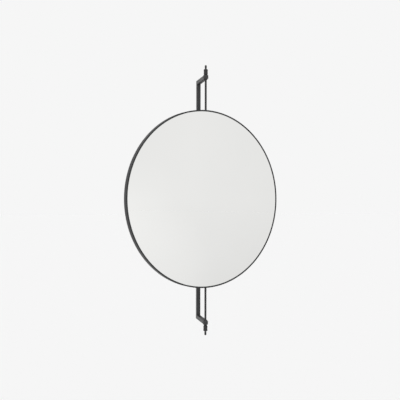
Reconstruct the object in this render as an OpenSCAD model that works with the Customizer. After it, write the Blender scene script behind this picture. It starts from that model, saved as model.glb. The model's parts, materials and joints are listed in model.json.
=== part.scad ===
// Round wall mirror that turns on two upright spindles in a bracket of square tube.
// The origin is the middle of the bracket's back face, on the wall.
// +Z is up and -Y points into the room.

/* [Mirror] */
// Outer diameter of the hoop
mirror_d = 600; // [400:10:800]
// Radial thickness of the hoop, seen as the line round the glass
hoop_face = 4; // [2.5:0.1:8]
// Depth of the hoop from front to back
hoop_depth = 18; // [14:0.5:30]
// Broken edge on the hoop's corners
hoop_edge = 0.5; // [0.1:0.1:1]
// Thickness of the glass
glass_t = 4; // [3:0.5:6]
// How far the glass lies behind the hoop's front edge
glass_recess = 1.6; // [0:0.1:3]
// Gap between the glass and the hoop
glass_gap = 0.3; // [0.2:0.1:2]
// Ground edge on the glass
glass_edge = 0.6; // [0.2:0.1:1]
// Turn of the mirror from square-on, left edge forward
turn = 18.4; // [-19:0.1:19]

/* [Back of the mirror] */
// Thickness of the bonding strips
tape_t = 1; // [0.5:0.1:2]
// Width of a bonding strip
tape_w = 25; // [10:1:60]
// Distance from one bonding strip to the next
tape_pitch = 150; // [80:5:180]
// Distance from the ends of a bonding strip to the edge of the glass
tape_margin = 30; // [10:5:60]
// Thickness of the back board
panel_t = 3; // [2:0.5:6]
// Thickness of a lug
lug_t = 1.5; // [1:0.1:3]
// Width of a lug
lug_w = 16; // [10:1:30]
// Length of a lug from the hoop inwards
lug_l = 22; // [16:1:40]
// Number of lugs and of board screws
lug_count = 6; // [4:2:12]
// Diameter of a board screw
screw_d = 3; // [2.5:0.5:4]
// Length of a board screw under its head
screw_l = 4; // [3:0.5:8]
// Diameter of a screw head
head_d = 5.6; // [5:0.1:9]
// Height of a screw head
head_h = 1.7; // [1:0.1:3]
// Width across the socket's corners in a screw head
socket_d = 2.3; // [1.5:0.1:3]
// Depth of the socket in a screw head
socket_h = 1; // [0.5:0.1:1.4]

/* [Bracket] */
// Width and height of the square tube
tube_w = 13.5; // [10:0.5:16]
// Wall of the square tube
tube_wall = 1.5; // [1:0.1:3]
// Outer corner radius of the square tube
tube_round = 1.2; // [1:0.1:3]
// Inner corner radius of the square tube
tube_round_in = 0.5; // [0.2:0.1:1.5]
// Distance from the wall to the pivot axis
axis_gap = 111.5; // [60:0.5:200]
// Diameter of a boss
boss_d = 17.5; // [16:0.5:30]
// How far a boss stands proud of its arm, above and below
boss_proud = 0.1; // [0:0.1:10]
// Broken edge on a boss, on the knob's side
boss_edge = 0.8; // [0.2:0.1:1.5]
// Taper of a boss on the mirror's side
boss_taper = 2.8; // [0.5:0.1:3]
// Distance between the two wall screws
wall_hole_pitch = 480; // [100:10:700]
// Diameter of a wall screw hole
wall_hole_d = 4.5; // [3:0.1:6]
// Diameter of the hole that a wall screw's head goes in through
access_d = 9; // [7:0.5:9.5]

/* [Pivots] */
// Free spindle between the hoop and the upper boss
upper_stem = 105.3; // [40:0.1:200]
// Free spindle between the hoop and the lower boss
lower_stem = 110.9; // [40:0.1:200]
// Diameter of a spindle
spindle_d = 7; // [6.6:0.1:8]
// Diameter of a spindle's threaded end
thread_d = 6; // [4:0.5:6]
// Inside length of a bush
bush_l = 5; // [3:0.5:6.5]
// Wall of a bush
bush_wall = 1; // [0.8:0.1:1.5]
// Diameter of a bush's flange
flange_d = 11.5; // [11.2:0.1:15]
// Thickness of a bush's flange
flange_t = 1.3; // [0.5:0.1:3]
// Thickness of a disc spring's steel
spring_t = 0.4; // [0.3:0.1:0.8]
// Height of one disc spring
spring_h = 1; // [0.9:0.1:2]
// Thickness of the washer under the lower knob
washer_t = 0.6; // [0.4:0.1:2]
// Diameter of the springs and the washer
washer_d = 11; // [10:0.1:15]
// Diameter of a knob
knob_d = 14; // [12:0.5:24]
// Height of a knob
knob_h = 18.8; // [14:0.1:40]
// Broken edge on a knob's ends
knob_edge = 1.6; // [0.3:0.1:2]
// Depth of a knob's waist
waist_in = 0.4; // [0.2:0.1:1.5]
// Radius of the waist's hollow curve
waist_r = 10; // [3:0.5:20]
// Diameter of the grub screw in a knob
grub_d = 3; // [2:0.5:3]
// Height of the grub screw above a knob's bearing face
grub_z = 4.2; // [3.5:0.1:4.5]
// How far the grub screw lies below the knob's surface
grub_set = 0.3; // [0.1:0.1:0.8]
// How far the spindle stands out of a knob
tip_h = 13.8; // [9:0.1:30]
// Edge radius of the tip's domed end
tip_round = 2.4; // [1:0.1:3.2]
// Length of the neck between a knob and the tip
neck_h = 3.5; // [1:0.5:5]
// Diameter of the neck
neck_d = 6; // [4:0.1:6.4]

/* [Fits] */
// Radial running clearance of a spindle in a bush
run_gap = 0.05; // [0.02:0.01:0.1]
// Radial clearance of pieces that stay fixed in one another
fit_gap = 0.03; // [0.02:0.01:0.1]
// Radial clearance of screws, springs and washers round what passes through them
free_gap = 0.2; // [0.1:0.05:0.4]

/* [Hidden] */

BLACK = "#2b2b2c";
STEEL = "#8c8e90";
NYLON = "#191919";
GLASS = "#dfe4e6";
BOARD = "#363432";
TAPE = "#c9c7c2";

$fn = 96;

// Overshoot of a cut past the piece
over = 1;

// Mirror
mirror_r = mirror_d / 2;
hoop_in_r = mirror_r - hoop_face;
glass_r = hoop_in_r - glass_gap;
tape_depth = glass_recess + glass_t;
panel_depth = tape_depth + tape_t;
lug_depth = panel_depth + panel_t;
head_depth = lug_depth + lug_t;
screw_ring_r = hoop_in_r - lug_l + lug_w / 2;

// Bracket
boss_h = tube_w + 2 * boss_proud;
arm_z = mirror_r + (upper_stem + lower_stem) / 2 + boss_h / 2;
mirror_z = (lower_stem - upper_stem) / 2;
arm_in_z = arm_z - tube_w / 2;
arm_out_z = arm_z + tube_w / 2;
boss_r = boss_d / 2;

// Pivots, measured outwards from the mirror's centre
spindle_r = spindle_d / 2;
sleeve_r = spindle_r + run_gap + bush_wall;
spring_stack = 2 * spring_h + washer_t;

// Places a piece in the mirror's own frame: its centre on the axis, its front towards -Y.
module at_mirror() {
    translate([0, -axis_gap, mirror_z])
        rotate([0, 0, turn])
            children();
}

// The same for the lower pivot, which is the upper one turned over.
module at_lower_pivot() {
    at_mirror()
        mirror([0, 0, 1])
            children();
}

// Plate of the mirror whose front lies at a depth behind the hoop's front edge.
module plate(depth, thickness) {
    translate([0, depth + thickness - hoop_depth / 2, 0])
        rotate([90, 0, 0])
            linear_extrude(thickness)
                children();
}

// Repeats a piece at each lug, drawn at the angle 0, on the +X side.
module at_each_lug() {
    for (i = [0 : lug_count - 1])
        rotate(360 / lug_count * i)
            children();
}

// Corners of a rectangle from (x0, y0) to (x1, y1) with each corner cut by c.
function cut_corners(x0, x1, y0, y1, c) = [
    [x0 + c, y0], [x1 - c, y0], [x1, y0 + c], [x1, y1 - c],
    [x1 - c, y1], [x0 + c, y1], [x0, y1 - c], [x0, y0 + c]
];

// Extrudes a side view, drawn in Y and Z, over a width that is centred on X = 0.
module side_extrude(width) {
    translate([-width / 2, 0, 0])
        rotate([90, 0, 90])
            linear_extrude(width)
                children();
}

// Square of a width, centred, with round corners.
module round_square(width, corner_r) {
    flat = width - 2 * corner_r;
    square([width, flat], center = true);
    square([flat, width], center = true);
    for (x = [-1, 1], y = [-1, 1])
        translate([x * flat / 2, y * flat / 2])
            circle(r = corner_r);
}

// ---- Bracket ----

// Square tube of a length along Z, standing on Z = 0: the steel, or its hollow.
module tube(length) {
    linear_extrude(length)
        round_square(tube_w, tube_round);
}

module hollow(length) {
    linear_extrude(length)
        round_square(tube_w - 2 * tube_wall, tube_round_in);
}

module wall_bar() {
    color(BLACK)
        difference() {
            intersection() {
                translate([0, -tube_w / 2, -arm_out_z])
                    tube(2 * arm_out_z);
                side_extrude(tube_w)
                    polygon([
                        [0, arm_out_z], [-tube_w, arm_in_z],
                        [-tube_w, -arm_in_z], [0, -arm_out_z]
                    ]);
            }
            translate([0, -tube_w / 2, -arm_out_z - over])
                hollow(2 * arm_out_z + 2 * over);
            for (s = [-1, 1])
                translate([0, 0, s * wall_hole_pitch / 2])
                    rotate([90, 0, 0]) {
                        translate([0, 0, -over])
                            cylinder(d = wall_hole_d, h = tube_w / 2 + over);
                        translate([0, 0, tube_w / 2])
                            cylinder(d = access_d, h = tube_w);
                    }
        }
}

// Arm of the upper end: mitred to the bar at the back and cut round to seat on its boss.
module arm() {
    difference() {
        intersection() {
            translate([0, 0, arm_z])
                rotate([90, 0, 0])
                    tube(axis_gap);
            side_extrude(tube_w)
                polygon([
                    [-axis_gap, arm_in_z], [-tube_w, arm_in_z],
                    [0, arm_out_z], [-axis_gap, arm_out_z]
                ]);
        }
        translate([0, over, arm_z])
            rotate([90, 0, 0])
                hollow(axis_gap + over);
        boss_body();
    }
}

module upper_arm() {
    color(BLACK)
        arm();
}

module lower_arm() {
    color(BLACK)
        mirror([0, 0, 1])
            arm();
}

// Outer shape of the upper boss, which the arm's end is cut to as well.
module boss_body() {
    translate([0, -axis_gap, arm_z - boss_h / 2])
        rotate_extrude()
            polygon([
                [0, 0], [boss_r - boss_taper, 0], [boss_r, boss_taper],
                [boss_r, boss_h - boss_edge], [boss_r - boss_edge, boss_h], [0, boss_h]
            ]);
}

module boss() {
    difference() {
        boss_body();
        translate([0, -axis_gap, arm_z - boss_h / 2 - over])
            cylinder(r = sleeve_r + fit_gap, h = boss_h + 2 * over);
    }
}

module upper_boss() {
    color(BLACK)
        boss();
}

module lower_boss() {
    color(BLACK)
        mirror([0, 0, 1])
            boss();
}

// Flanged bush: its sleeve hangs from Z = 0 into the boss and its flange lies on top.
module bush() {
    bore_r = spindle_r + run_gap;
    color(NYLON)
        rotate_extrude()
            polygon([
                [bore_r, -bush_l], [sleeve_r, -bush_l], [sleeve_r, 0],
                [flange_d / 2, 0], [flange_d / 2, flange_t], [bore_r, flange_t]
            ]);
}

module outer_bush() {
    translate([0, -axis_gap, arm_z + boss_h / 2])
        bush();
}

module inner_bush() {
    translate([0, -axis_gap, arm_z - boss_h / 2])
        mirror([0, 0, 1])
            bush();
}

// ---- Mirror ----

// Flat bar rolled into a ring, tapped at the top and the bottom for the spindles.
module rim_hoop() {
    color(BLACK)
        at_mirror()
            difference() {
                rotate([90, 0, 0])
                    rotate_extrude($fn = 180)
                        polygon(cut_corners(
                            hoop_in_r, mirror_r, -hoop_depth / 2, hoop_depth / 2, hoop_edge
                        ));
                for (s = [0, 1])
                    mirror([0, 0, s])
                        translate([0, 0, hoop_in_r - over])
                            cylinder(r = thread_d / 2 + fit_gap, h = hoop_face + 2 * over);
            }
}

// Lugs welded inside the hoop, with a round nose and a screw hole each.
module rim_lugs() {
    color(BLACK)
        at_mirror()
            plate(lug_depth, lug_t)
                at_each_lug()
                    difference() {
                        intersection() {
                            circle(r = hoop_in_r, $fn = 180);
                            union() {
                                translate([screw_ring_r, -lug_w / 2])
                                    square([lug_l, lug_w]);
                                translate([screw_ring_r, 0])
                                    circle(d = lug_w);
                            }
                        }
                        translate([screw_ring_r, 0])
                            circle(r = screw_d / 2 + free_gap);
                    }
}

// Glass disc with a ground edge at the front and the back.
module mirror_glass() {
    color(GLASS)
        at_mirror()
            translate([0, glass_recess + glass_t - hoop_depth / 2, 0])
                rotate([90, 0, 0])
                    rotate_extrude($fn = 180)
                        polygon([
                            [0, 0], [glass_r - glass_edge, 0], [glass_r, glass_edge],
                            [glass_r, glass_t - glass_edge], [glass_r - glass_edge, glass_t], [0, glass_t]
                        ]);
}

// Upright bonding strips between the glass and the board.
module glass_tapes() {
    color(TAPE)
        at_mirror()
            plate(tape_depth, tape_t)
                for (i = [-1, 0, 1]) {
                    far_x = abs(i) * tape_pitch + tape_w / 2;
                    length = 2 * sqrt(glass_r * glass_r - far_x * far_x) - 2 * tape_margin;
                    translate([i * tape_pitch, 0])
                        square([tape_w, length], center = true);
                }
}

module back_panel() {
    color(BOARD)
        at_mirror()
            plate(panel_depth, panel_t)
                difference() {
                    circle(r = glass_r, $fn = 180);
                    at_each_lug()
                        translate([screw_ring_r, 0])
                            circle(r = screw_d / 2 + fit_gap);
                }
}

// Screws through the lugs into the board, with a hexagon socket each.
module panel_screws() {
    color(STEEL)
        at_mirror()
            translate([0, head_depth - hoop_depth / 2, 0])
                rotate([90, 0, 0])
                    at_each_lug()
                        translate([screw_ring_r, 0, 0])
                            difference() {
                                union() {
                                    cylinder(d = screw_d, h = screw_l);
                                    mirror([0, 0, 1])
                                        cylinder(d = head_d, h = head_h);
                                }
                                translate([0, 0, -head_h - over])
                                    cylinder(d = socket_d, h = socket_h + over, $fn = 6);
                            }
}

// ---- Pivots ----

// Height of a knob's bearing face above the mirror's centre.
function knob_base(stem, stack) = mirror_r + stem + boss_h + flange_t + stack;

// Spindle from its threaded end in the hoop to its domed tip outside the knob.
module spindle(stem, stack) {
    knob_top = knob_base(stem, stack) + knob_h;
    color(BLACK) {
        translate([0, 0, hoop_in_r])
            cylinder(d = thread_d, h = hoop_face);
        translate([0, 0, mirror_r])
            cylinder(r = spindle_r, h = knob_top - mirror_r);
        translate([0, 0, knob_top])
            cylinder(d = neck_d, h = neck_h);
        translate([0, 0, knob_top + neck_h])
            tip(tip_h - neck_h);
    }
}

// Tip of a spindle: a rod of a height whose outer end is rounded.
module tip(height) {
    rotate_extrude() {
        square([spindle_r, height - tip_round]);
        square([spindle_r - tip_round, height]);
        translate([spindle_r - tip_round, height - tip_round])
            intersection() {
                circle(r = tip_round);
                square(tip_round);
            }
    }
}

// Turned knob with a hollow waist, cut edges and a hole for its grub screw.
module knob(stem, stack) {
    knob_r = knob_d / 2;
    color(BLACK)
        translate([0, 0, knob_base(stem, stack)])
            difference() {
                rotate_extrude()
                    difference() {
                        polygon([
                            [0, 0], [knob_r - knob_edge, 0], [knob_r, knob_edge],
                            [knob_r, knob_h - knob_edge], [knob_r - knob_edge, knob_h], [0, knob_h]
                        ]);
                        translate([knob_r + waist_r - waist_in, knob_h / 2])
                            circle(r = waist_r);
                    }
                translate([0, 0, -over])
                    cylinder(r = spindle_r + fit_gap, h = knob_h + 2 * over);
                translate([0, 0, grub_z])
                    rotate([-90, 0, 0])
                        cylinder(r = grub_d / 2 + fit_gap, h = knob_d);
            }
}

// Grub screw on the side of the knob that faces the wall, from the spindle outwards.
module grub_screw(stem, stack) {
    length = (knob_d - spindle_d) / 2 - grub_set;
    color(BLACK)
        translate([0, 0, knob_base(stem, stack) + grub_z])
            rotate([-90, 0, 0])
                translate([0, 0, spindle_r])
                    difference() {
                        cylinder(d = grub_d, h = length);
                        translate([0, 0, length - socket_h])
                            cylinder(d = grub_d / 2, h = socket_h + over, $fn = 6);
                    }
}

// Two disc springs, hollow sides facing, on the lower bush's flange.
module disc_springs() {
    in_r = spindle_r + free_gap;
    base = mirror_r + lower_stem + boss_h + flange_t;
    color(BLACK)
        translate([0, 0, base + spring_h])
            for (s = [0, 1])
                mirror([0, 0, s])
                    rotate_extrude()
                        polygon([
                            [washer_d / 2, 0], [washer_d / 2, spring_t],
                            [in_r, spring_h], [in_r, spring_h - spring_t]
                        ]);
}

module flat_washer() {
    color(BLACK)
        translate([0, 0, knob_base(lower_stem, spring_stack) - washer_t])
            difference() {
                cylinder(d = washer_d, h = washer_t);
                translate([0, 0, -over])
                    cylinder(r = spindle_r + free_gap, h = washer_t + 2 * over);
            }
}

wall_bar();
upper_arm();
lower_arm();
upper_boss();
lower_boss();
outer_bush();  // upper_outer_bush
inner_bush();  // upper_inner_bush
mirror([0, 0, 1]) outer_bush();  // lower_outer_bush
mirror([0, 0, 1]) inner_bush();  // lower_inner_bush
rim_hoop();
rim_lugs();
mirror_glass();
glass_tapes();
back_panel();
panel_screws();
at_mirror() spindle(upper_stem, 0);  // upper_spindle
at_lower_pivot() spindle(lower_stem, spring_stack);  // lower_spindle
at_lower_pivot() disc_springs();  // lower_disc_springs
at_lower_pivot() flat_washer();  // lower_washer
at_mirror() knob(upper_stem, 0);  // upper_knob
at_lower_pivot() knob(lower_stem, spring_stack);  // lower_knob
at_mirror() grub_screw(upper_stem, 0);  // upper_grub_screw
at_lower_pivot() grub_screw(lower_stem, spring_stack);  // lower_grub_screw
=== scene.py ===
"""Looks of the round pivot wall mirror, laid out as an add-on and run as a script.

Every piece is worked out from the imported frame: the mirror's own axes come from the glass disc, the
pivot axis from the joint, and each size from the node that a piece stands for.
Lengths are metres. The wall is the plane y = 0, the room is on the side of -y, and z points up.
"""
import json
import math

import bmesh
import bpy
import numpy as np
from bpy.props import FloatProperty, FloatVectorProperty, IntProperty, PointerProperty
from mathutils import Matrix

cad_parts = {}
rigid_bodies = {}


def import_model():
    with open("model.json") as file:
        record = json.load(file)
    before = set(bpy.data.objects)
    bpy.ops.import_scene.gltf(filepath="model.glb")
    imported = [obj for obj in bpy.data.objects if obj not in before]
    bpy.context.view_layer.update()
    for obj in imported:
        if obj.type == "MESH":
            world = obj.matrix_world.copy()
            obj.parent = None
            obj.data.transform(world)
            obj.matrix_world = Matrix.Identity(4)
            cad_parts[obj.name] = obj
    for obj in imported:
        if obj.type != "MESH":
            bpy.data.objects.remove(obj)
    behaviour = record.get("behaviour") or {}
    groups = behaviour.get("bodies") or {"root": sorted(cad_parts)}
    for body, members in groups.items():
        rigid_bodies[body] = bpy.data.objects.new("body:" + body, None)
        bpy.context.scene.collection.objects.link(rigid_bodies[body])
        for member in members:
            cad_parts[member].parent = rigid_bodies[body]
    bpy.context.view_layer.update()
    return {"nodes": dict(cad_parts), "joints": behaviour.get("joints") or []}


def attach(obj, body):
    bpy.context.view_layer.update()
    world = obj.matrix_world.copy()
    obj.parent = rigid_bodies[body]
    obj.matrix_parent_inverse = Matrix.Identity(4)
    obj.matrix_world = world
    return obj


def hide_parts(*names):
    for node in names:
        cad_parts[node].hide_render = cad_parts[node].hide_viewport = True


bl_info = {
    "name": "Pivot wall mirror",
    "version": (1, 0, 0),
    "blender": (4, 5, 0),
    "location": "View3D > Sidebar > Pivot mirror",
    "description": "Builds the finished pieces of a round pivot wall mirror round its packed frame",
    "category": "Mesh",
}

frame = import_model()
MM = 0.001
WHITE = (1.0, 1.0, 1.0, 1.0)

# Corners nearer than this are one corner, and faces that turn by less than this are one face.
SAME_POINT = 0.01 * MM
SAME_PLANE = math.radians(0.3)

# Points on each rounded corner of the hoop's and the tube's outlines.
HOOP_CORNER_POINTS = 6
TUBE_CORNER_POINTS = 8

# A face of the glass is its front or its back if this much of its normal lies along the front.
FLAT_FACE = 0.99

# Edges sharper than these many degrees stay edges on the hoop, the glass, a weld and a copied node.
HOOP_SHARP = 35.0
GLASS_SHARP = 20.0
WELD_SHARP = 60.0
NODE_SHARP = 30.0

# A weld bead: its steps along and round, how much it ripples, the steps in one ripple, and the
# height over which the boss's slope is taken.
WELD_STEPS = 240
WELD_SIDES = 16
WELD_RIPPLE = 0.10
RIPPLE_STEPS = 5.0
SLOPE_STEP = 0.05 * MM

# Widths of the broken edges.
BROKEN = {
    "boss": 0.3 * MM,
    "spindle": 0.2 * MM,
    "knob": 0.25 * MM,
    "grub_screw": 0.1 * MM,
    "bush": 0.15 * MM,
    "springs": 0.05 * MM,
    "washer": 0.1 * MM,
    "board": 0.3 * MM,
    "lugs": 0.2 * MM,
    "screws": 0.25 * MM,
    "tapes": 0.15 * MM,
}

# The studio: the top light's width in degrees and the way its rays travel, half the floor's width,
# how much paler the floor is than the backdrop, the camera's sensor in mm and how far it sees.
TOP_LIGHT_WIDTH = 50.0
TOP_LIGHT_WAY = (0.25, 0.35, -0.9)
FLOOR_HALF = 60.0
FLOOR_SHARE = 1.008
SENSOR_WIDTH = 36.0
CAMERA_REACH = 200.0

# What gloss sees of the studio. Greys go from 0, black, to 1, white. LEFT_WAY is the x and y of the
# way that counts as left, and POOL_WAY points at the middle of the pool of light.
STUDIO_GREY = 0.91
PALEST = 0.97
DARKEST = 0.82
LEFT_WAY = (-0.643, -0.766)
POOL_WAY = (0.677, -0.726, -0.122)
LEFT_GAIN = 0.25
POOL_GAIN = 0.05
LOW_LOSS = 0.45
HIGH_LOSS = 0.06
HIGH_LEFT_LOSS = 4.0
HIGH_LEFT_END = 0.1
BEHIND_LOSS = 0.75
BEHIND_EASE = 0.5
LOW_FRONT_LOSS = 0.28

# The two values between which each smooth step goes from 0 to 1.
POOL_STEP = (0.9877, 0.9994)
BEHIND_STEP = (0.2, 0.7)
FAR_BEHIND_STEP = (0.85, 0.94)
RIGHT_STEP = (-0.15, 0.15)
FRONT_STEP = (0.84, 0.95)
DOWN_STEP = (-0.12, 0.16)


# ---------------------------------------------------------------- the frame's own measures

def node_points(node):
    """All corners of a node's mesh as an array of rows x, y, z."""
    mesh = frame["nodes"][node].data
    flat = np.empty(len(mesh.vertices) * 3, np.float32)
    mesh.vertices.foreach_get("co", flat)
    return flat.reshape(-1, 3).astype(float)


def node_box(node):
    """Lowest and highest corner of a node in the row frame."""
    points = node_points(node)
    return points.min(0), points.max(0)


def pivot_point():
    """The joint's own place: the point of the pivot axis at the height of the mirror's centre."""
    return np.array(frame["joints"][0]["pos_m"], float)


def mirror_axes():
    """Unit vectors across, out of the front, and up, of the mirror as it stands at rest.

    The glass disc spreads least along its own normal, so that is the last singular vector of its
    points about their mean. Up is the frame's z, because the mirror turns about an upright axis,
    and across is the cross product up x normal.
    """
    points = node_points("mirror_glass")
    normal = np.linalg.svd(points - points.mean(0), full_matrices=False)[2][-1]
    normal = normal * (-1.0 if normal[1] > 0 else 1.0)
    up = np.array([0.0, 0.0, 1.0])
    return np.cross(up, normal), normal, up


PIVOT = pivot_point()
ACROSS, FRONT, UP = mirror_axes()


def from_mirror(points):
    """Takes points given as (across, towards the front, up) from the pivot to the row frame."""
    points = np.asarray(points, float)
    return PIVOT + points[..., 0:1] * ACROSS + points[..., 1:2] * FRONT + points[..., 2:3] * UP


def mirror_box(node):
    """Lowest and highest (across, towards the front, up) of a node, seen from the mirror's axes."""
    offset = node_points(node) - PIVOT
    own = np.stack([offset @ ACROSS, offset @ FRONT, offset @ UP], axis=1)
    return own.min(0), own.max(0)


def hoop_inner_radius():
    """Radius of the hoop's inner face: the least reach of its points from the mirror's centre."""
    offset = node_points("rim_hoop") - PIVOT
    return float(np.hypot(offset @ ACROSS, offset @ UP).min())


def boss_radius(node, height):
    """Outer radius of a boss at given heights: a straight line between its widest corners."""
    offset = node_points(node) - PIVOT
    reach = np.hypot(offset[:, 0], offset[:, 1])
    levels = np.unique(np.round(offset[:, 2], 6))
    widest = [reach[np.abs(offset[:, 2] - level) < SAME_POINT].max() for level in levels]
    return np.interp(height, PIVOT[2] + levels, widest)


# ---------------------------------------------------------------- settings

class HOOP_PG_sizes(bpy.types.PropertyGroup):
    """Small shapes that finish the pieces. The main sizes come from the frame."""
    hoop_steps: IntProperty(
        name="Steps round the hoop", description="Faces round the hoop and the glass",
        default=480, min=96, max=1440)
    hoop_outer_round: FloatProperty(
        name="Hoop's outer edges", description="Radius of the hoop's rounded outer edges",
        default=0.6 * MM, unit="LENGTH", subtype="DISTANCE")
    hoop_inner_round: FloatProperty(
        name="Hoop's inner front edge", description="Radius of the hoop's rounded inner front edge",
        default=0.5 * MM, unit="LENGTH", subtype="DISTANCE")
    hoop_back_round: FloatProperty(
        name="Hoop's inner back edge", description="Radius of the hoop's rounded inner back edge",
        default=0.3 * MM, unit="LENGTH", subtype="DISTANCE")
    glass_arris: FloatProperty(
        name="Ground edge of the glass", description="Width of the ground edge of the glass",
        default=0.6 * MM, unit="LENGTH", subtype="DISTANCE")
    tube_round: FloatProperty(
        name="Tube's corners", description="Outer corner radius of the square tube",
        default=1.2 * MM, unit="LENGTH", subtype="DISTANCE")
    weld_height: FloatProperty(
        name="Weld's height", description="How far the bead between an arm and its boss stands out",
        default=0.35 * MM, unit="LENGTH", subtype="DISTANCE")
    weld_width: FloatProperty(
        name="Weld's width", description="Width of the bead between an arm and its boss",
        default=2.0 * MM, unit="LENGTH", subtype="DISTANCE")


class HOOP_PG_colours(bpy.types.PropertyGroup):
    """Colours of the finishes."""
    black_coat: FloatVectorProperty(
        name="Black coat", description="Satin black powder coat",
        subtype="COLOR", size=4, min=0.0, max=1.0, default=(0.020, 0.020, 0.021, 1.0))
    black_steel: FloatVectorProperty(
        name="Black steel", description="Blackened turned steel",
        subtype="COLOR", size=4, min=0.0, max=1.0, default=(0.012, 0.012, 0.0125, 1.0))
    silvering: FloatVectorProperty(
        name="Silvering", description="Colour of the mirror's reflection",
        subtype="COLOR", size=4, min=0.0, max=1.0, default=(0.90, 0.90, 0.885, 1.0))
    backdrop: FloatVectorProperty(
        name="Backdrop", description="Pale colour of the backdrop and the floor",
        subtype="COLOR", size=4, min=0.0, max=1.0, default=(0.9216, 0.9216, 0.9216, 1.0))


class HOOP_PG_studio(bpy.types.PropertyGroup):
    """Camera, lamps and floor."""
    camera_distance: FloatProperty(
        name="Camera distance", description="From the pivot axis to the camera, along the floor",
        default=2.1635, unit="LENGTH", subtype="DISTANCE")
    camera_azimuth: FloatProperty(
        name="Camera azimuth", description="How far the camera stands to the left of straight on",
        default=math.radians(14.31), unit="ROTATION", subtype="ANGLE")
    camera_height: FloatProperty(
        name="Camera height", description="Height of the camera above the frame's origin",
        default=0.002, unit="LENGTH", subtype="DISTANCE")
    camera_aim: FloatProperty(
        name="Aim to the right", description="How far right of the pivot axis the camera aims",
        default=math.radians(-0.50), unit="ROTATION", subtype="ANGLE")
    camera_pitch: FloatProperty(
        name="Aim upwards", description="How far above level the camera aims",
        default=math.radians(-0.07), unit="ROTATION", subtype="ANGLE")
    camera_roll: FloatProperty(
        name="Roll", description="Turn of the camera about its own line of sight",
        default=math.radians(0.08), unit="ROTATION", subtype="ANGLE")
    lens_ratio: FloatProperty(
        name="Lens ratio", description="Focal length over the picture's width",
        default=638.8 / 400.0, min=0.5, max=5.0)
    floor_drop: FloatProperty(
        name="Floor below the origin", description="Height at which the mirror hangs",
        default=1.5, unit="LENGTH", subtype="DISTANCE")
    dome_strength: FloatProperty(
        name="Dome strength", description="Light from all round", default=0.72, min=0.0, max=2.0)
    top_strength: FloatProperty(
        name="Top light", description="Strength of the wide light from above",
        default=0.95, min=0.0, max=5.0)


def settings():
    """The three groups of settings: sizes, colours and studio."""
    scene = bpy.context.scene
    return scene.hoop_sizes, scene.hoop_colours, scene.hoop_studio


# ---------------------------------------------------------------- surfaces

def unit_rows(vectors):
    """Each row divided by its length."""
    return vectors / np.linalg.norm(vectors, axis=1)[:, None]


def rounded_corners(corners, radii, count):
    """A closed outline whose corner i is an arc of radius radii[i] that touches both sides.

    At each corner the arc's centre lies on the bisector, at the radius over the sine of half the
    corner's angle, and count points run along the arc from one touching point to the other. A
    radius of 0 keeps the corner.
    """
    corners = np.asarray(corners, float)
    outline = []
    for i, corner in enumerate(corners):
        if radii[i] <= 0:
            outline.append(corner[None])
            continue
        before = corners[i - 1] - corner
        after = corners[(i + 1) % len(corners)] - corner
        before = before / np.hypot(*before)
        after = after / np.hypot(*after)
        half = 0.5 * math.acos(float(np.clip(before @ after, -1.0, 1.0)))
        bisector = (before + after) / np.hypot(*(before + after))
        centre = corner + bisector * radii[i] / math.sin(half)
        reach = radii[i] / math.tan(half)
        first = corner + before * reach - centre
        last = corner + after * reach - centre
        start = math.atan2(first[1], first[0])
        sweep = math.atan2(first[0] * last[1] - first[1] * last[0], first @ last)
        angle = start + sweep * np.linspace(0.0, 1.0, count)
        outline.append(centre + radii[i] * np.stack([np.cos(angle), np.sin(angle)], 1))
    return np.concatenate(outline)


def evenly(outline, count):
    """The same closed outline with its points spread at equal steps of its length."""
    closed = np.concatenate([outline, outline[:1]])
    reach = np.concatenate([[0.0], np.cumsum(np.hypot(*np.diff(closed, axis=0).T))])
    at = np.linspace(0.0, reach[-1], count, endpoint=False)
    return np.stack([np.interp(at, reach, closed[:, k]) for k in (0, 1)], 1)


def ring_grid(outline, steps):
    """An outline (radius, forward) carried round the mirror's centre.

    P(u, v) = radius(v) times (cos u, sin u) in the mirror's plane, plus forward(v) along its front.
    """
    turn = np.linspace(0.0, 2.0 * np.pi, steps, endpoint=False)[:, None]
    radius, forward = outline[None, :, 0], outline[None, :, 1]
    parts = np.broadcast_arrays(radius * np.cos(turn), forward, radius * np.sin(turn))
    return from_mirror(np.stack(parts, -1))


def grid_mesh(name, grid, sharp, wrap_v=False):
    """A mesh from a grid of points P(u, v) of shape (nu, nv, 3), with closed seams and poles.

    Neighbours in u and v make one quad, and the last u joins the first. With wrap_v the last v
    joins the first too. Points that fall together, such as a pole, become one vertex, and a quad
    that loses a corner there becomes a triangle. The faces are then made to point outwards by the
    sign of the enclosed volume, the sum of p0 . (p1 x p2) / 6.
    """
    nu, nv = grid.shape[:2]
    flat, index = np.unique(np.round(grid.reshape(-1, 3), 8), axis=0, return_inverse=True)
    index = index.reshape(nu, nv)
    closed = np.concatenate([index, index[:1]], 0)
    if wrap_v:
        closed = np.concatenate([closed, closed[:, :1]], 1)
    corners = [closed[:-1, :-1], closed[1:, :-1], closed[1:, 1:], closed[:-1, 1:]]
    quads = np.stack(corners, -1).reshape(-1, 4)
    same = quads == np.roll(quads, -1, axis=1)
    whole = quads[~same.any(1)]
    pinched = quads[same.sum(1) == 1]
    spare = np.argmax(pinched == np.roll(pinched, -1, axis=1), axis=1)
    keep = np.ones(pinched.shape, bool)
    keep[np.arange(len(pinched)), spare] = False
    thirds = pinched[keep].reshape(-1, 3)
    halves = np.concatenate([whole[:, [0, 1, 2]], whole[:, [0, 2, 3]], thirds])
    a, b, c = flat[halves[:, 0]], flat[halves[:, 1]], flat[halves[:, 2]]
    if np.einsum("ij,ij->", a, np.cross(b, c)) < 0:
        whole = whole[:, ::-1]
        thirds = thirds[:, ::-1]
    mesh = bpy.data.meshes.new(name)
    mesh.from_pydata(flat.tolist(), [], whole.tolist() + thirds.tolist())
    mesh.shade_smooth()
    mesh.set_sharp_from_angle(angle=math.radians(sharp))
    return mesh


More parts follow.
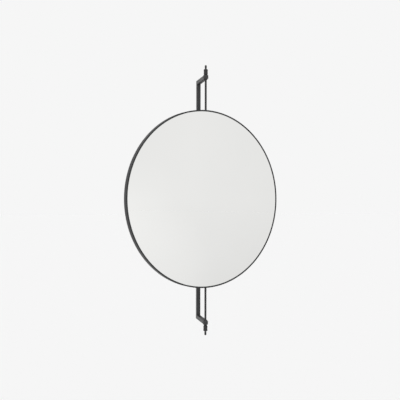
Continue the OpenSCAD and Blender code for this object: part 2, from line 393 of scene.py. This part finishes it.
def piece(name, mesh, body, materials, replaces=()):
    """Puts a finished mesh in the scene as a piece that rides on a body."""
    found = bpy.data.objects.get(name)
    if found is not None:
        bpy.data.objects.remove(found, do_unlink=True)
    obj = bpy.data.objects.new(name, mesh)
    bpy.context.scene.collection.objects.link(obj)
    for material in materials:
        mesh.materials.append(material)
    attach(obj, body)
    if replaces:
        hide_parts(*replaces)
    return obj


def refined(node, body, material, edge=0.0):
    """A copy of a node with its triangles joined, its edges broken and its round faces smooth.

    The loose triangles are merged at their corners, and flat ones dissolved into whole faces. A
    bevel as wide as edge then breaks each edge sharper than NODE_SHARP, and the normals are
    weighted by area, so that flat faces stay flat beside small rounds.
    """
    name = f"{node}_finished"
    mesh = frame["nodes"][node].data.copy()
    mesh.name = name
    mesh.materials.clear()
    work = bmesh.new()
    work.from_mesh(mesh)
    bmesh.ops.remove_doubles(work, verts=work.verts, dist=SAME_POINT)
    bmesh.ops.dissolve_limit(work, angle_limit=SAME_PLANE, verts=work.verts, edges=work.edges)
    bmesh.ops.recalc_face_normals(work, faces=work.faces)
    work.to_mesh(mesh)
    work.free()
    mesh.shade_smooth()
    mesh.set_sharp_from_angle(angle=math.radians(NODE_SHARP))
    obj = piece(name, mesh, body, [material], [node])
    if edge > 0.0:
        bevel = obj.modifiers.new("broken_edges", "BEVEL")
        bevel.width = edge
        bevel.segments = 2
        bevel.limit_method = "ANGLE"
        bevel.angle_limit = math.radians(NODE_SHARP)
    even = obj.modifiers.new("flat_faces", "WEIGHTED_NORMAL")
    even.mode = "FACE_AREA"
    even.keep_sharp = True


# ---------------------------------------------------------------- shader expressions

class Wire:
    """One socket of a shader graph. Arithmetic on it adds the Math nodes of the expression."""

    def __init__(self, graph, socket):
        self.graph = graph
        self.socket = socket

    def _with(self, operation, *values):
        return self.graph.node("ShaderNodeMath", {"operation": operation}, dict(enumerate(values)))

    def __add__(self, other):
        return self._with("ADD", self, other)

    def __radd__(self, other):
        return self._with("ADD", other, self)

    def __sub__(self, other):
        return self._with("SUBTRACT", self, other)

    def __rsub__(self, other):
        return self._with("SUBTRACT", other, self)

    def __mul__(self, other):
        return self._with("MULTIPLY", self, other)

    def __rmul__(self, other):
        return self._with("MULTIPLY", other, self)

    def at_most(self, other):
        """The smaller of two values."""
        return self._with("MINIMUM", self, other)

    def at_least(self, other):
        """The larger of two values."""
        return self._with("MAXIMUM", self, other)

    def ramp(self, low, high):
        """0 below low, 1 above high, and a smooth step between them."""
        return self.graph.node(
            "ShaderNodeMapRange", {"interpolation_type": "SMOOTHSTEP"},
            {"Value": self, "From Min": low, "From Max": high})

    def beside(self, output):
        """Another output of the node that this socket is on."""
        return Wire(self.graph, self.socket.node.outputs[output])


class Graph:
    """The node tree of one material or world."""

    def __init__(self, owner):
        owner.use_nodes = True
        self.tree = owner.node_tree
        self.tree.nodes.clear()

    def node(self, kind, options=None, inputs=None, output=0):
        """Adds a node: options are set first, then each input gets a value or a link.

        It gives back the output that is asked for, or nothing where the node has none.
        """
        made = self.tree.nodes.new(kind)
        for key, value in (options or {}).items():
            setattr(made, key, value)
        for key, value in (inputs or {}).items():
            if isinstance(value, Wire):
                self.tree.links.new(value.socket, made.inputs[key])
            else:
                made.inputs[key].default_value = value
        return Wire(self, made.outputs[output]) if made.outputs else None

    def place(self, scale=(1.0, 1.0, 1.0)):
        """Object coordinates, scaled."""
        where = self.node("ShaderNodeTexCoord", output="Object")
        return self.node("ShaderNodeMapping", {}, {0: where, "Scale": scale})

    def noise(self, where, scale, detail=2.0, roughness=0.5):
        """Soft noise between 0 and 1, scale features per metre."""
        return self.node(
            "ShaderNodeTexNoise", {"noise_dimensions": "3D"},
            {"Vector": where, "Scale": scale, "Detail": detail, "Roughness": roughness})

    def blend(self, factor, first, second):
        """Mixes two colours by a factor."""
        return self.node(
            "ShaderNodeMix", {"data_type": "RGBA", "clamp_factor": True},
            {"Factor": factor, 6: first, 7: second}, output=2)

    def bump(self, height, distance, strength=1.0):
        """A normal from a height between 0 and 1 that stands for a distance in metres."""
        return self.node(
            "ShaderNodeBump", {}, {"Strength": strength, "Distance": distance, "Height": height})

    def finish_surface(self, **inputs):
        """The Principled shader with these inputs, joined to the output."""
        names = {key.replace("_", " "): value for key, value in inputs.items()}
        self.join(self.node("ShaderNodeBsdfPrincipled", {}, names, output="BSDF"))

    def join(self, shader, output="ShaderNodeOutputMaterial"):
        """Joins a shader to the material's or the world's output."""
        self.node(output, {}, {"Surface": shader})


def new_graph(name):
    """A fresh material and its graph."""
    found = bpy.data.materials.get(name)
    material = found or bpy.data.materials.new(name)
    return material, Graph(material)


def shade(colour, share):
    """A colour made darker or paler: each part times a share, and no more than 1."""
    return tuple(min(1.0, value * share) for value in colour[:3]) + (1.0,)


# ---------------------------------------------------------------- finishes

def black_coat(name="black_coat", painted_shading=1.0, ior=1.5):
    """Satin black powder coat: fine orange peel, and a roughness that drifts a little.

    A factor above 1 taken times the colour paints light on a piece, and one below 1 paints shade.
    """
    base = shade(settings()[1].black_coat, painted_shading)
    material, graph = new_graph(name)
    where = graph.place()
    peel = graph.noise(where, scale=900.0, detail=3.0)
    drift = graph.noise(where, scale=14.0)
    graph.finish_surface(
        Base_Color=graph.blend(drift.ramp(0.35, 0.7), base, shade(base, 1.35)),
        Roughness=0.34 + 0.10 * drift + 0.04 * peel,
        Normal=graph.bump(peel, distance=0.06 * MM, strength=0.8),
        IOR=ior)
    return material


def black_steel():
    """Blackened turned steel: fine rings from the tool round an upright axis."""
    base = shade(settings()[1].black_steel, 1.0)
    material, graph = new_graph("black_steel")
    rings = graph.noise(graph.place(scale=(4.0, 4.0, 4000.0)), scale=1.0)
    drift = graph.noise(graph.place(), scale=40.0)
    graph.finish_surface(
        Base_Color=graph.blend(drift.ramp(0.3, 0.75), base, shade(base, 1.6)),
        Roughness=0.30 + 0.14 * rings,
        Normal=graph.bump(rings, distance=0.02 * MM, strength=0.6),
        IOR=1.5)
    return material


def silvered_glass():
    """Mirror face: the silver's reflection, with the faintest haze from cleaning."""
    base = shade(settings()[1].silvering, 1.0)
    material, graph = new_graph("silvered_glass")
    haze = graph.noise(graph.place(), scale=3.0, detail=3.0)
    graph.finish_surface(
        Base_Color=graph.blend(haze.ramp(0.35, 0.7), base, shade(base, 0.985)),
        Roughness=0.012 * haze,
        Metallic=1.0)
    return material


def ground_glass():
    """Ground edge of the glass: pale green-grey and matt."""
    dark, pale = (0.36, 0.42, 0.40, 1.0), (0.50, 0.56, 0.54, 1.0)
    material, graph = new_graph("ground_glass")
    grit = graph.noise(graph.place(), scale=2500.0)
    graph.finish_surface(
        Base_Color=graph.blend(grit, dark, pale),
        Roughness=0.35 + 0.2 * grit,
        IOR=1.52)
    return material


def nylon():
    """Moulded black nylon with a fine matt grain."""
    dark, pale = (0.012, 0.012, 0.013, 1.0), (0.022, 0.022, 0.023, 1.0)
    material, graph = new_graph("black_nylon")
    grain = graph.noise(graph.place(), scale=3000.0)
    graph.finish_surface(
        Base_Color=graph.blend(grain, dark, pale),
        Roughness=0.52 + 0.12 * grain,
        Normal=graph.bump(grain, distance=0.01 * MM, strength=0.5),
        IOR=1.46)
    return material


def zinc():
    """Bright zinc on small steel pieces, faintly cloudy."""
    dark, pale = (0.46, 0.46, 0.47, 1.0), (0.60, 0.60, 0.59, 1.0)
    material, graph = new_graph("zinc_plate")
    cloud = graph.noise(graph.place(), scale=600.0, detail=3.0)
    graph.finish_surface(
        Base_Color=graph.blend(cloud, dark, pale),
        Roughness=0.26 + 0.16 * cloud,
        Metallic=1.0)
    return material


def board():
    """Black-faced fibreboard: felted fibres, nearly matt, on a faintly clouded ground."""
    dark, pale = (0.056, 0.053, 0.050, 1.0), (0.063, 0.059, 0.055, 1.0)
    fibre_tone = (0.095, 0.087, 0.077, 1.0)
    material, graph = new_graph("black_board")
    stretched = graph.place(scale=(1.0, 1.0, 0.6))
    fibre = graph.noise(stretched, scale=900.0, detail=4.0, roughness=0.65)
    cloud = graph.noise(graph.place(), scale=18.0, detail=3.0)
    ground = graph.blend(cloud.ramp(0.3, 0.7), dark, pale)
    graph.finish_surface(
        Base_Color=graph.blend(fibre.ramp(0.45, 0.85), ground, fibre_tone),
        Roughness=0.62 + 0.2 * fibre,
        Normal=graph.bump(fibre, distance=0.05 * MM, strength=0.7),
        IOR=1.45)
    return material


def foam():
    """Closed-cell foam of the bonding strips."""
    dark, pale = (0.48, 0.48, 0.46, 1.0), (0.62, 0.62, 0.60, 1.0)
    material, graph = new_graph("foam_tape")
    cells = graph.noise(graph.place(), scale=4000.0)
    graph.finish_surface(
        Base_Color=graph.blend(cells, dark, pale),
        Roughness=0.85,
        Normal=graph.bump(cells, distance=0.05 * MM, strength=0.6),
        IOR=1.4)
    return material


# ---------------------------------------------------------------- pieces

class HOOP_OT_hoop(bpy.types.Operator):
    """Build the hoop round the glass"""
    bl_idname = "hoop.build_hoop"
    bl_label = "Hoop"

    def execute(self, context):
        sizes = settings()[0]
        low, high = mirror_box("rim_hoop")
        inner, outer, back, front = hoop_inner_radius(), high[2], low[1], high[1]
        corners = [(inner, back), (outer, back), (outer, front), (inner, front)]
        outer_round = sizes.hoop_outer_round
        radii = [sizes.hoop_back_round, outer_round, outer_round, sizes.hoop_inner_round]
        outline = rounded_corners(corners, radii, HOOP_CORNER_POINTS)
        mesh = grid_mesh("hoop", ring_grid(outline, sizes.hoop_steps), HOOP_SHARP, wrap_v=True)
        # The hoop's coat is a darker copy of the black coat: painted shade on the rim.
        coat = black_coat("hoop_coat", painted_shading=0.65, ior=1.45)
        piece("hoop", mesh, "mirror", [coat], ["rim_hoop"])
        return {"FINISHED"}


class HOOP_OT_glass(bpy.types.Operator):
    """Build the silvered glass with its ground edge"""
    bl_idname = "hoop.build_glass"
    bl_label = "Glass"

    def execute(self, context):
        sizes = settings()[0]
        low, high = mirror_box("mirror_glass")
        radius, back, front = high[2], low[1], high[1]
        arris = sizes.glass_arris
        outline = np.array([
            [0.0, front], [radius - arris, front], [radius, front - arris],
            [radius, back + arris], [radius - arris, back], [0.0, back],
        ])
        mesh = grid_mesh("glass", ring_grid(outline, sizes.hoop_steps), GLASS_SHARP)
        normals = np.empty(len(mesh.polygons) * 3, np.float32)
        mesh.polygons.foreach_get("normal", normals)
        ground = np.abs(normals.reshape(-1, 3) @ FRONT) < FLAT_FACE
        mesh.polygons.foreach_set("material_index", ground.astype(np.int32))
        materials = [silvered_glass(), ground_glass()]
        piece("glass", mesh, "mirror", materials, ["mirror_glass"])
        return {"FINISHED"}


def arm_weld(end):
    """Low weld bead along the line where an arm's square tube meets its round boss.

    C(u) runs round the tube's rounded square, (x(u), z(u)), at the depth on the boss's surface,
    y(u) = axis + sqrt(R(z)^2 - x^2). P(u, v) = C(u) + a cos v O(u) + b sin v S(u). O points midway
    between the ways out of the tube and of the boss, and S across the bead. The bead's height a and
    half its width b ripple by a tenth along it.
    """
    sizes = settings()[0]
    name, boss = f"{end}_weld", f"{end}_boss"
    low, high = node_box(f"{end}_arm")
    half = (high[0] - low[0]) / 2
    middle = (high[2] - half) if end == "upper" else (low[2] + half)
    corners = [(-half, -half), (half, -half), (half, half), (-half, half)]
    square = rounded_corners(corners, [sizes.tube_round] * 4, TUBE_CORNER_POINTS)
    outline = evenly(square, WELD_STEPS)
    x, z = outline[:, 0], outline[:, 1]
    run = np.roll(outline, -1, axis=0) - np.roll(outline, 1, axis=0)
    out_of_tube = unit_rows(np.stack([run[:, 1], np.zeros(len(x)), -run[:, 0]], 1))
    level = middle + z
    radius = boss_radius(boss, level)
    slope = boss_radius(boss, level + SLOPE_STEP) - boss_radius(boss, level - SLOPE_STEP)
    depth = np.sqrt(np.maximum(radius ** 2 - x ** 2, 0.0))
    centre = np.stack([x, PIVOT[1] + depth, level], 1)
    out_of_boss = unit_rows(np.stack([x / radius, depth / radius, -slope / (2.0 * SLOPE_STEP)], 1))
    out = unit_rows(out_of_tube + out_of_boss)
    along = unit_rows(np.roll(centre, -1, axis=0) - np.roll(centre, 1, axis=0))
    across = unit_rows(np.cross(along, out))
    turn = np.linspace(0.0, 2.0 * np.pi, WELD_SIDES, endpoint=False)[None, :, None]
    wave = np.sin(np.arange(len(x)) * 2.0 * np.pi / RIPPLE_STEPS)
    ripple = (1.0 + WELD_RIPPLE * wave)[:, None, None]
    grid = centre[:, None] + ripple * (
        sizes.weld_height * np.cos(turn) * out[:, None]
        + 0.5 * sizes.weld_width * np.sin(turn) * across[:, None])
    mesh = grid_mesh(name, grid, WELD_SHARP, wrap_v=True)
    piece(name, mesh, "bracket", [black_coat()])


class HOOP_OT_bracket(bpy.types.Operator):
    """Build the square tube of the wall bracket, its bosses and their welds"""
    bl_idname = "hoop.build_bracket"
    bl_label = "Bracket"

    def execute(self, context):
        coat = black_coat()
        # The wall bar's coat is a paler copy of the black coat: painted light on the bar.
        refined("wall_bar", "bracket", black_coat("bar_coat", painted_shading=1.35))
        for end in ("upper", "lower"):
            refined(f"{end}_arm", "bracket", coat)
            refined(f"{end}_boss", "bracket", coat, BROKEN["boss"])
            arm_weld(end)
        return {"FINISHED"}


class HOOP_OT_pivots(bpy.types.Operator):
    """Build spindles, knobs, bushes, springs, washer and grub screws"""
    bl_idname = "hoop.build_pivots"
    bl_label = "Pivots"

    def execute(self, context):
        steel, plastic = black_steel(), nylon()
        for end in ("upper", "lower"):
            for turned in ("spindle", "knob", "grub_screw"):
                refined(f"{end}_{turned}", "mirror", steel, BROKEN[turned])
            for side in ("outer", "inner"):
                refined(f"{end}_{side}_bush", "bracket", plastic, BROKEN["bush"])
        refined("lower_disc_springs", "mirror", steel, BROKEN["springs"])
        refined("lower_washer", "mirror", steel, BROKEN["washer"])
        return {"FINISHED"}


class HOOP_OT_back(bpy.types.Operator):
    """Build the board, lugs, screws and bonding strips behind the glass"""
    bl_idname = "hoop.build_back"
    bl_label = "Back"

    def execute(self, context):
        refined("back_panel", "mirror", board(), BROKEN["board"])
        refined("rim_lugs", "mirror", black_coat(), BROKEN["lugs"])
        refined("panel_screws", "mirror", zinc(), BROKEN["screws"])
        refined("glass_tapes", "mirror", foam(), BROKEN["tapes"])
        return {"FINISHED"}


# ---------------------------------------------------------------- stage and camera

def surroundings(graph, direction, share=1.0):
    """Grey that gloss sees in a direction: the pale studio, a little darker low down and to the
    right, with a soft pool of light at the lower left, dim behind the object's right side and
    dimmer low down in front.

    left is how far the direction goes along LEFT_WAY, rise is its z where that is above 0, and
    near is left kept between 0 and HIGH_LEFT_END. Grey = STUDIO_GREY + LEFT_GAIN * left
    + LOW_LOSS * (z where that is below 0) - HIGH_LOSS * rise - HIGH_LEFT_LOSS * near * rise
    + POOL_GAIN * (step towards POOL_WAY), kept between DARKEST and PALEST. It is then taken times
    share, times 1 - BEHIND_LOSS * (step behind) * (step to the right)
    * (1 - BEHIND_EASE * (step far behind)), and times
    1 - LOW_FRONT_LOSS * (step to the front) * (step down).
    """
    parts = graph.node("ShaderNodeSeparateXYZ", {}, {0: direction})
    x, y, z = (parts.beside(axis) for axis in "XYZ")
    left = x * LEFT_WAY[0] + y * LEFT_WAY[1]
    rise = z.at_least(0.0)
    pool = (x * POOL_WAY[0] + y * POOL_WAY[1] + z * POOL_WAY[2]).ramp(*POOL_STEP)
    near = left.at_least(0.0).at_most(HIGH_LEFT_END)
    grey = STUDIO_GREY + LEFT_GAIN * left + LOW_LOSS * z.at_most(0.0)
    grey = grey - HIGH_LOSS * rise - HIGH_LEFT_LOSS * near * rise
    grey = (grey + POOL_GAIN * pool).at_most(PALEST).at_least(DARKEST)
    eased = 1.0 - BEHIND_EASE * y.ramp(*FAR_BEHIND_STEP)
    behind = y.ramp(*BEHIND_STEP) * x.ramp(*RIGHT_STEP) * eased
    low_front = (y * -1.0).ramp(*FRONT_STEP) * (z * -1.0).ramp(*DOWN_STEP)
    grey = share * grey * (1.0 - BEHIND_LOSS * behind) * (1.0 - LOW_FRONT_LOSS * low_front)
    return graph.node("ShaderNodeCombineXYZ", {}, {0: grey, 1: grey, 2: grey})


def ray_is(graph, *kinds):
    """1 for rays of the named kinds, and 0 for the others."""
    path = graph.node("ShaderNodeLightPath")
    seen = path.beside(kinds[0])
    for kind in kinds[1:]:
        seen = seen.at_least(path.beside(kind))
    return seen


def stage_floor():
    """A wide pale floor that keeps the shadow.

    Its colour is a trifle paler than the backdrop's, because the light on it gives back a little
    less than the backdrop shows.
    """
    colours, studio = settings()[1:]
    material, graph = new_graph("pale_floor")
    where = graph.node("ShaderNodeTexCoord", output="Object")
    outward = graph.node("ShaderNodeVectorMath", {"operation": "NORMALIZE"}, {0: where})
    # For gloss the floor's colour is the grey of surroundings() in each point's direction from the
    # origin: painted shade and a painted pool of light, the same greys that gloss sees in the world.
    gloss = ray_is(graph, "Is Glossy Ray")
    pale = shade(colours.backdrop, FLOOR_SHARE)
    tone = graph.blend(gloss, pale, surroundings(graph, outward, FLOOR_SHARE))
    graph.finish_surface(Base_Color=tone, Roughness=1.0, Specular_IOR_Level=0.0)
    half, z = FLOOR_HALF, -studio.floor_drop
    corners = [(-half, -half, z), (half, -half, z), (half, half, z), (-half, half, z)]
    mesh = bpy.data.meshes.new("floor")
    mesh.from_pydata(corners, [], [(0, 1, 2, 3)])
    mesh.materials.append(material)
    floor = bpy.data.objects.new("floor", mesh)
    bpy.context.scene.collection.objects.link(floor)


def studio_world():
    """Pale all round for the eye and for gloss, and a plain soft dome for the light itself."""
    colours, studio = settings()[1:]
    world = bpy.data.worlds.new("studio")
    bpy.context.scene.world = world
    graph = Graph(world)
    gloss = ray_is(graph, "Is Glossy Ray")
    seen = ray_is(graph, "Is Camera Ray", "Is Glossy Ray", "Is Transmission Ray")
    direction = graph.node("ShaderNodeTexCoord", output="Generated")
    tone = graph.blend(gloss, tuple(colours.backdrop), surroundings(graph, direction))
    shown = graph.node("ShaderNodeBackground", {}, {"Color": tone, "Strength": 1.0})
    light = graph.node(
        "ShaderNodeBackground", {}, {"Color": WHITE, "Strength": studio.dome_strength})
    both = graph.node("ShaderNodeMixShader", {}, {0: seen, 1: light, 2: shown})
    graph.join(both, "ShaderNodeOutputWorld")


def soft_sun(name, strength, width, towards):
    """A distant light, as soft as its width in degrees, whose rays travel along a direction."""
    lamp = bpy.data.lights.new(name, "SUN")
    lamp.energy = strength
    lamp.angle = math.radians(width)
    obj = bpy.data.objects.new(name, lamp)
    direction = np.array(towards, float)
    direction /= np.linalg.norm(direction)
    side = np.cross(direction, (0.0, 1.0, 0.0))
    side /= np.linalg.norm(side)
    basis = np.stack([side, np.cross(-direction, side), -direction], 1)
    obj.matrix_world = Matrix(basis.tolist()).to_4x4()
    bpy.context.scene.collection.objects.link(obj)


def set_camera(studio):
    """Stands the camera on a circle round the pivot axis and aims it beside the axis.

    Forward is (sin a, cos a, 0) for the heading a = azimuth + aim, tipped up by the pitch. Right is
    level and square to it, and both right and up are turned about forward by the roll.
    """
    azimuth, heading = studio.camera_azimuth, studio.camera_azimuth + studio.camera_aim
    stand = np.array([
        PIVOT[0] - studio.camera_distance * math.sin(azimuth),
        PIVOT[1] - studio.camera_distance * math.cos(azimuth),
        studio.camera_height,
    ])
    level = np.array([math.sin(heading), math.cos(heading), 0.0])
    right = np.array([math.cos(heading), -math.sin(heading), 0.0])
    pitch, roll = studio.camera_pitch, studio.camera_roll
    forward = level * math.cos(pitch) + UP * math.sin(pitch)
    above = UP * math.cos(pitch) - level * math.sin(pitch)
    turned_right = math.cos(roll) * right + math.sin(roll) * above
    turned_above = math.cos(roll) * above - math.sin(roll) * right
    data = bpy.data.cameras.new("camera")
    data.sensor_width = SENSOR_WIDTH
    data.lens = data.sensor_width * studio.lens_ratio
    data.clip_end = CAMERA_REACH
    camera = bpy.data.objects.new("camera", data)
    basis = np.eye(4)
    basis[:3] = np.stack([turned_right, turned_above, -forward, stand], 1)
    camera.matrix_world = Matrix(basis.tolist())
    bpy.context.scene.collection.objects.link(camera)
    bpy.context.scene.camera = camera


class HOOP_OT_stage(bpy.types.Operator):
    """Set the pale floor, the soft studio light and the camera"""
    bl_idname = "hoop.set_stage"
    bl_label = "Stage"

    def execute(self, context):
        studio = settings()[2]
        stage_floor()
        studio_world()
        soft_sun("top_light", studio.top_strength, TOP_LIGHT_WIDTH, TOP_LIGHT_WAY)
        set_camera(studio)
        context.scene.view_settings.view_transform = "Standard"
        return {"FINISHED"}


# ---------------------------------------------------------------- panel and registering

class HOOP_PT_panel(bpy.types.Panel):
    """Lists the settings and the pieces in the sidebar"""
    bl_label = "Pivot mirror"
    bl_idname = "HOOP_PT_panel"
    bl_space_type = "VIEW_3D"
    bl_region_type = "UI"
    bl_category = "Pivot mirror"

    def draw(self, context):
        for group in settings():
            box = self.layout.box()
            for name in group.bl_rna.properties.keys():
                if name not in ("rna_type", "name"):
                    box.prop(group, name)
        for operator in PIECES:
            self.layout.operator(operator.bl_idname)


PIECES = (HOOP_OT_hoop, HOOP_OT_glass, HOOP_OT_bracket, HOOP_OT_pivots, HOOP_OT_back, HOOP_OT_stage)
CLASSES = (HOOP_PG_sizes, HOOP_PG_colours, HOOP_PG_studio) + PIECES + (HOOP_PT_panel,)


def register():
    """Registers the classes and hangs the settings on the scene."""
    for cls in CLASSES:
        bpy.utils.register_class(cls)
    bpy.types.Scene.hoop_sizes = PointerProperty(type=HOOP_PG_sizes)
    bpy.types.Scene.hoop_colours = PointerProperty(type=HOOP_PG_colours)
    bpy.types.Scene.hoop_studio = PointerProperty(type=HOOP_PG_studio)


def unregister():
    """Takes the settings and the classes away again."""
    del bpy.types.Scene.hoop_studio
    del bpy.types.Scene.hoop_colours
    del bpy.types.Scene.hoop_sizes
    for cls in reversed(CLASSES):
        bpy.utils.unregister_class(cls)


def main():
    """Builds everything in order."""
    register()
    for obj in [o for o in bpy.data.objects if o.type in {"CAMERA", "LIGHT"} or o.name == "Cube"]:
        bpy.data.objects.remove(obj, do_unlink=True)
    bpy.ops.hoop.build_hoop()
    bpy.ops.hoop.build_glass()
    bpy.ops.hoop.build_bracket()
    bpy.ops.hoop.build_pivots()
    bpy.ops.hoop.build_back()
    bpy.ops.hoop.set_stage()


if __name__ == "__main__":
    main()
